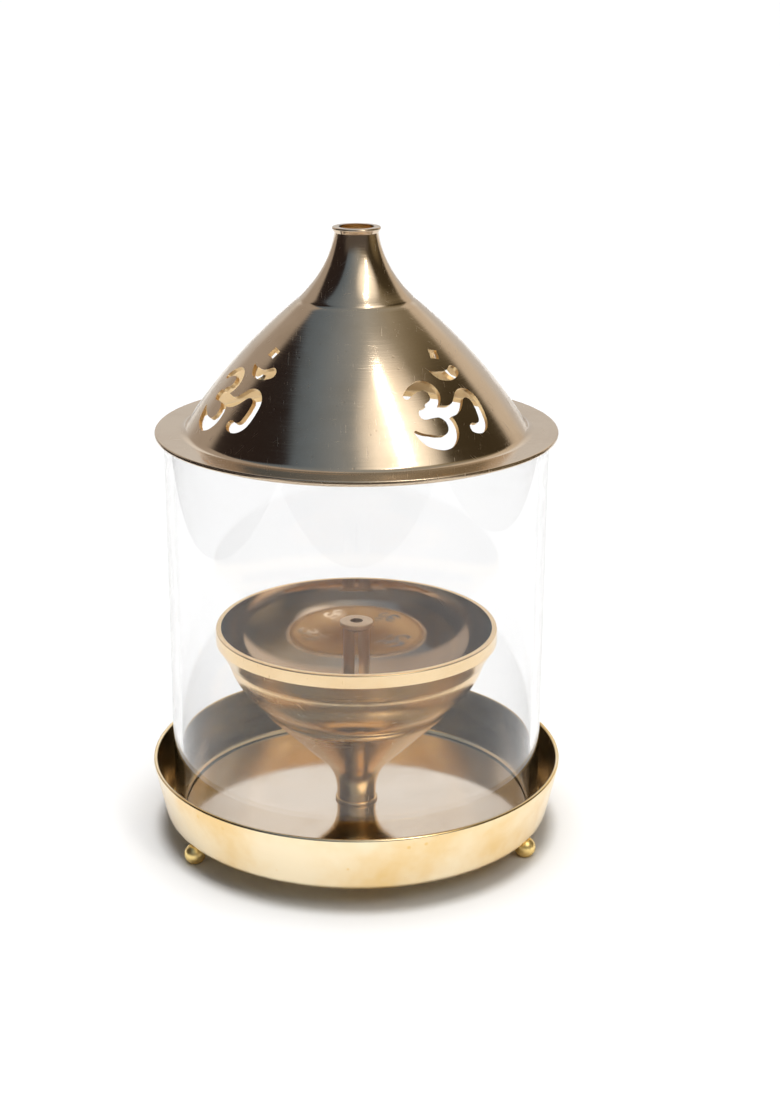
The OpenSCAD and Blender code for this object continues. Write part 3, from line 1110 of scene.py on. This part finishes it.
OM_STROKES = (
    Stroke((-10.3, 6.2, 38), 1.0, ((-10, -28, 1.5), (-3.2, -95, 1.7), (-3.2, -95, 1.3))),
    Stroke((-3.9, -0.5, -15), 1.2, ((-4.3, -75, 1.5), (-4.3, -100, 2.1), (-9, -26, 1.8), (-9, -26, 0.5))),
    Stroke((-7.6, 0.1, 2), 1.7, ((-28, -14, 1.7), (5, 62, 1.5), (60, 2.1, 1.45), (-3.2, -130, 1.5),
                                 (-14, -23, 1.6), (-3.4, -104, 1.5))),
    Stroke((0, 11.8, -48), 0.2, ((6.2, 30, 1.4), (6.2, 58, 1.8))),
)
OM_DOT = (4.3, 16.8, -12.0, 2.9)


@dataclass
class ChimneyLid:
    """Spun lid with a brim, a lip, a cone, a neck and pierced vents."""

    z: float = 122.0
    thickness: float = 1.2
    height: float = 58.0
    brim_r: float = 57.5
    lip_r: float = 52.0
    lip_drop: float = 1.6
    neck_r: float = 6.1
    neck_lip: float = 0.7
    neck_lip_h: float = 1.6
    soft: float = 0.4
    crease_z: float = 38.0
    crease_w: float = 1.4
    crease_depth: float = 0.22
    slope_arcs: tuple[Point, ...] = ((-2.2, -63.7), (188, 15.3), (-42.7, -34.9))
    sign_rise: float = 17.0
    cut_below: float = 7.0
    cut_length: float = 12.0
    sign_turns: tuple[float, ...] = (-59.0, 37.5, 125.0, 213.0)

    def slope(self, steps: int) -> Line:
        """Gives the outside slope from the brim to the lip of the neck.

        Args:
            steps: Number of short steps in each arc.

        Returns:
            The points of the slope.
        """
        states = trace((0, 0, 180), list(self.slope_arcs), steps)
        return between(states, (self.lip_r - self.thickness, self.thickness),
                       (self.neck_r, self.height - self.neck_lip_h))

    def profile(self) -> tuple[Line, int]:
        """Gives the closed profile.

        Returns:
            The profile's points, and how many of them are on the outside.
        """
        t, soft = self.thickness, self.soft
        slope = self.slope(20)
        inside = [p for p in beside(slope, t) if p[1] > 0]
        slope = creased(slope, self.crease_z, self.crease_w, self.crease_depth)
        lip = self.lip_r - t
        outside = [
            (lip, -self.lip_drop), (self.lip_r, -self.lip_drop), (self.lip_r, 0),
            *round_edge(self.brim_r - soft, soft, soft, -90, 0),
            *round_edge(self.brim_r - soft, t - soft, soft, 0, 90),
            *slope,
            *round_edge(self.neck_r + self.neck_lip - soft, self.height - soft, soft, -30, 90),
            (self.neck_r - t, self.height),
        ]
        line = outside + inside[::-1] + [(lip, 0)]
        return [(r, z + self.z) for r, z in line], len(outside)

    def vents(self) -> bmesh.types.BMesh:
        """Builds the cutters of all signs, each square to the slope where it sits.

        Returns:
            One mesh of all cutters.
        """
        bm = bmesh.new()
        r, z, heading = along(self.slope(9), self.sign_rise)
        x, y, turn, width = OM_DOT
        dot = round_edge(x, y, width / 2 * math.sqrt(2), turn + 45, turn + 315, 3)
        shapes = [stroke.outline() for stroke in OM_STROKES] + [dot]
        for sign in self.sign_turns:
            place = (Matrix.Rotation(math.radians(sign), 4, "Z")
                     @ Matrix.Translation((0, -r * MM, (z + self.z) * MM))
                     @ Matrix.Rotation(math.radians(180 - heading), 4, "X"))
            for shape in shapes:
                face = bm.faces.new([bm.verts.new((px * MM, py * MM, -self.cut_below * MM)) for px, py in shape])
                made = bmesh.ops.extrude_face_region(bm, geom=[face])["geom"]
                raised = [v for v in made if isinstance(v, bmesh.types.BMVert)]
                bmesh.ops.translate(bm, verts=raised, vec=(0, 0, self.cut_length * MM))
                bmesh.ops.transform(bm, matrix=place, verts=list(face.verts) + raised)
        return bm

    def build(self, finishes: Finishes) -> None:
        """Builds, pierces and dresses the lid.

        Args:
            finishes: The materials.
        """
        profile, outside = self.profile()
        turning = Turning("lid_spun", profile, 240)
        piece = turning.spin()
        cut(piece, self.vents())
        line_of = turning.smooth(piece.data)
        # The inside and the walls of the vents take the lighter brass, which is painted light.
        paint(piece, (line_of < 0) | (line_of >= outside))
        settle(piece, "chimney_lid", Body.LID, Slot.BRASS, finishes.lid, finishes.lid_inside_painted_light)


@dataclass
class Fastening:
    """Washer and thin nut under the tray, as the CAD gives them."""

    nodes: tuple[str, ...] = ("stem_washer", "stem_nut")

    def dress(self, finishes: Finishes) -> None:
        """Gives both their finish.

        Args:
            finishes: The materials.
        """
        for name in self.nodes:
            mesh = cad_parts[name].data
            mesh.materials.clear()
            mesh.materials.append(finishes.fastener)
            log.info("%s keeps its solid", name)


# Studio


@dataclass
class Studio:
    """Pale floor, soft light and the camera."""

    eye: Triple = (0.0, -0.5038, 0.2516)
    tilt: float = 71.665
    focal_px: float = 1813.5
    frame_h: float = 1108.0
    centre_px: float = 390.0
    axis_px: float = 356.46
    sensor: float = 36.0
    clip: Point = (0.01, 100.0)
    floor_reach: float = 20.0
    floor_colour: Colour = (0.9, 0.9, 0.9)
    floor_rough: float = 0.9
    wash_power: float = 3.06
    wash_angle: float = 22.0
    key_way: Triple = (0.40, -0.45, 0.798)
    key_reach: float = 1.5
    key_aim: Triple = (0.0, 0.0, 0.14)
    key_size: Point = (0.11, 0.98)
    key_power: float = 3.2
    key_colour: Colour = (1.0, 0.97, 0.92)
    glow: Colour = (1.75, 1.71, 1.62)
    glow_range: Point = (0.89, 1.0)
    sky: tuple[tuple[float, Colour], ...] = (
        (-1.0, (0.035, 0.026, 0.024)), (-0.60, (0.028, 0.022, 0.023)), (-0.555, (0.14, 0.19, 0.26)),
        (-0.40, (0.19, 0.25, 0.33)), (-0.12, (0.31, 0.36, 0.42)), (0.15, (0.46, 0.49, 0.50)),
        (0.46, (0.40, 0.37, 0.30)), (0.62, (0.22, 0.185, 0.12)), (0.72, (0.07, 0.055, 0.03)),
        (0.88, (0.055, 0.042, 0.024)), (1.0, (0.26, 0.21, 0.12)))
    rear_left: Colour = (0.48, 0.43, 0.39)
    rear_right: Colour = (0.78, 0.70, 0.60)
    rear_blend: float = 0.3
    rear_range: Point = (0.36, 0.47)
    rear_shift: float = 0.16
    shift_blend: float = 0.1
    backdrop_low: Colour = (0.68, 0.66, 0.64)
    backdrop_high: Colour = (1.0, 0.99, 0.98)
    backdrop_rise: Point = (0.22, 0.40)
    backdrop_back: Point = (0.76, 0.88)
    backdrop_top: Point = (0.48, 0.60)
    front: Colour = (0.12, 0.108, 0.10)
    front_back: Point = (-0.70, -0.40)
    front_top: Point = (0.35, 0.52)
    camera_white: Colour = (1.0, 1.0, 1.0)
    diffuse_loss: float = 0.6
    card_z: float = 0.002
    cards: tuple[tuple[str, Point, Point, Colour], ...] = (
        ("left card", (-2.2, -1.8), (-0.32, 1.3), (0.03, 0.025, 0.022)),
        ("right card", (0.36, -1.2), (2.2, 1.3), (0.11, 0.085, 0.05)),
        ("front card", (-0.30, -1.8), (0.34, -0.34), (0.07, 0.06, 0.05)))

    def camera(self) -> None:
        """Stands the camera where the photograph was taken from."""
        data = bpy.data.cameras.new("camera")
        data.sensor_width = self.sensor
        data.lens = self.sensor * self.focal_px / self.frame_h
        data.shift_x = (self.centre_px - self.axis_px) / self.frame_h
        data.clip_start, data.clip_end = self.clip
        camera = link("camera", data)
        camera.location = self.eye
        camera.rotation_euler = (math.radians(self.tilt), 0, 0)
        bpy.context.scene.camera = camera

    @staticmethod
    def matt(name: str, colour: Colour, rough: float) -> bpy.types.Material:
        """Builds a plain matt material.

        Args:
            name: Its name.
            colour: Its colour.
            rough: Its roughness.

        Returns:
            The material.
        """
        mat = bpy.data.materials.new(name)
        mat.use_nodes = True
        shader = mat.node_tree.nodes["Principled BSDF"]
        shader.inputs["Base Color"].default_value = (*colour, 1.0)
        shader.inputs["Roughness"].default_value = rough
        shader.inputs["Specular IOR Level"].default_value = 0.0
        return mat

    def floor(self) -> None:
        """Lays the plain pale floor."""
        bm = bmesh.new()
        bmesh.ops.create_grid(bm, x_segments=1, y_segments=1, size=self.floor_reach)
        floor = link("floor", mesh_of("floor", bm))
        floor.data.materials.append(self.matt("pale floor", self.floor_colour, self.floor_rough))

    def dome(self) -> None:
        """Builds the surroundings that the polished metal shows, laid out from left to right."""
        world = bpy.data.worlds.new("soft studio")
        bpy.context.scene.world = world
        world.use_nodes = True
        bench = NodeBench(world.node_tree)
        look = bench.add("ShaderNodeTexCoord").outputs["Generated"]
        split = bench.add("ShaderNodeSeparateXYZ")
        bench.join(look, split.inputs[0])
        x, y, z = split.outputs
        ramp = bench.add("ShaderNodeValToRGB")
        while len(ramp.color_ramp.elements) < len(self.sky):
            ramp.color_ramp.elements.new(1.0)
        for element, (place, colour) in zip(ramp.color_ramp.elements, self.sky):
            element.position = (place + 1.0) / 2.0
            element.color = (*colour, 1.0)
        bench.join(bench.math("MULTIPLY_ADD", x, 0.5, 0.5), ramp.inputs[0])
        across = bench.remap(x, -self.rear_blend, self.rear_blend, 0.0, 1.0)
        rear = bench.blend(across, self.rear_left, self.rear_right)
        shift = bench.remap(x, -self.shift_blend, self.shift_blend, 0.0, self.rear_shift)
        share = bench.remap(bench.math("SUBTRACT", y, shift), *self.rear_range, 0.0, 1.0)
        colour = bench.blend(share, ramp.outputs[0], rear)
        rise = bench.remap(z, *self.backdrop_rise, 0.0, 1.0)
        backdrop = bench.blend(rise, self.backdrop_low, self.backdrop_high)
        share = bench.times(bench.remap(y, *self.backdrop_back, 0.0, 1.0), bench.remap(z, *self.backdrop_top, 1.0, 0.0))
        colour = bench.blend(share, colour, backdrop)
        share = bench.times(bench.remap(y, *self.front_back, 1.0, 0.0), bench.remap(z, *self.front_top, 1.0, 0.0))
        colour = bench.blend(share, colour, self.front)
        way_x, way_y, way_z = self.key_way
        toward = bench.plus(bench.times(x, way_x), bench.plus(bench.times(y, way_y), bench.times(z, way_z)))
        colour = bench.blend(bench.remap(toward, *self.glow_range, 0.0, 1.0), colour, self.glow)
        rays = bench.add("ShaderNodeLightPath").outputs
        colour = bench.blend(rays["Is Camera Ray"], colour, self.camera_white)
        back = world.node_tree.nodes["Background"]
        bench.join(colour, back.inputs["Color"])
        loss = bench.times(rays["Is Diffuse Ray"], self.diffuse_loss)
        bench.join(bench.math("SUBTRACT", 1.0, loss), back.inputs["Strength"])

    def key(self) -> None:
        """Hangs the long narrow light that the polished metal shows."""
        data = bpy.data.lights.new("key", "AREA")
        data.shape = "RECTANGLE"
        data.size, data.size_y = self.key_size
        data.energy = self.key_power
        data.color = self.key_colour
        aim = Vector(self.key_aim)
        place = Vector(self.key_way) * self.key_reach + aim
        key = link("key", data)
        key.location = place
        key.rotation_euler = (aim - place).to_track_quat("-Z", "Y").to_euler()
        key.visible_transmission = False

    def wash(self) -> None:
        """Lights the floor evenly from above, without a glint in the metal."""
        data = bpy.data.lights.new("wash", "SUN")
        data.energy = self.wash_power
        data.angle = math.radians(self.wash_angle)
        wash = link("wash", data)
        wash.visible_glossy = False
        wash.visible_transmission = False

    def card(self, name: str, low: Point, high: Point, colour: Colour) -> None:
        """Lays a dark card just above the floor, which only polished metal shows.

        Args:
            name: Its name.
            low: One corner.
            high: The opposite corner.
            colour: Its colour.
        """
        bm = bmesh.new()
        bmesh.ops.create_grid(bm, x_segments=1, y_segments=1, size=0.5)
        (x0, y0), (x1, y1) = low, high
        bmesh.ops.scale(bm, vec=(x1 - x0, y1 - y0, 1.0), verts=bm.verts)
        bmesh.ops.translate(bm, vec=((x0 + x1) / 2, (y0 + y1) / 2, self.card_z), verts=bm.verts)
        card = link(name, mesh_of(name, bm))
        card.data.materials.append(self.matt(name, colour, 1.0))
        card.visible_camera = False
        card.visible_diffuse = False
        card.visible_shadow = False
        card.visible_transmission = False

    def build(self) -> None:
        """Sets up the whole studio."""
        self.camera()
        self.floor()
        self.dome()
        self.wash()
        for card in self.cards:
            self.card(*card)
        self.key()
        view = bpy.context.scene.view_settings
        view.view_transform = "Standard"
        view.look = "None"


def main() -> None:
    """Builds the lamp piece by piece."""
    logging.basicConfig(level=logging.INFO, format="%(message)s")
    Studio().build()
    finishes = Finishes()
    bowl = Bowl()
    Tray().build(finishes)
    Feet().build(finishes)
    bowl.build(finishes)
    WickTube(bowl.seat_z, bowl.rim_z).build(finishes)
    GlassChimney().build(finishes)
    ChimneyLid().build(finishes)
    Fastening().dress(finishes)


if __name__ == "__main__":
    main()
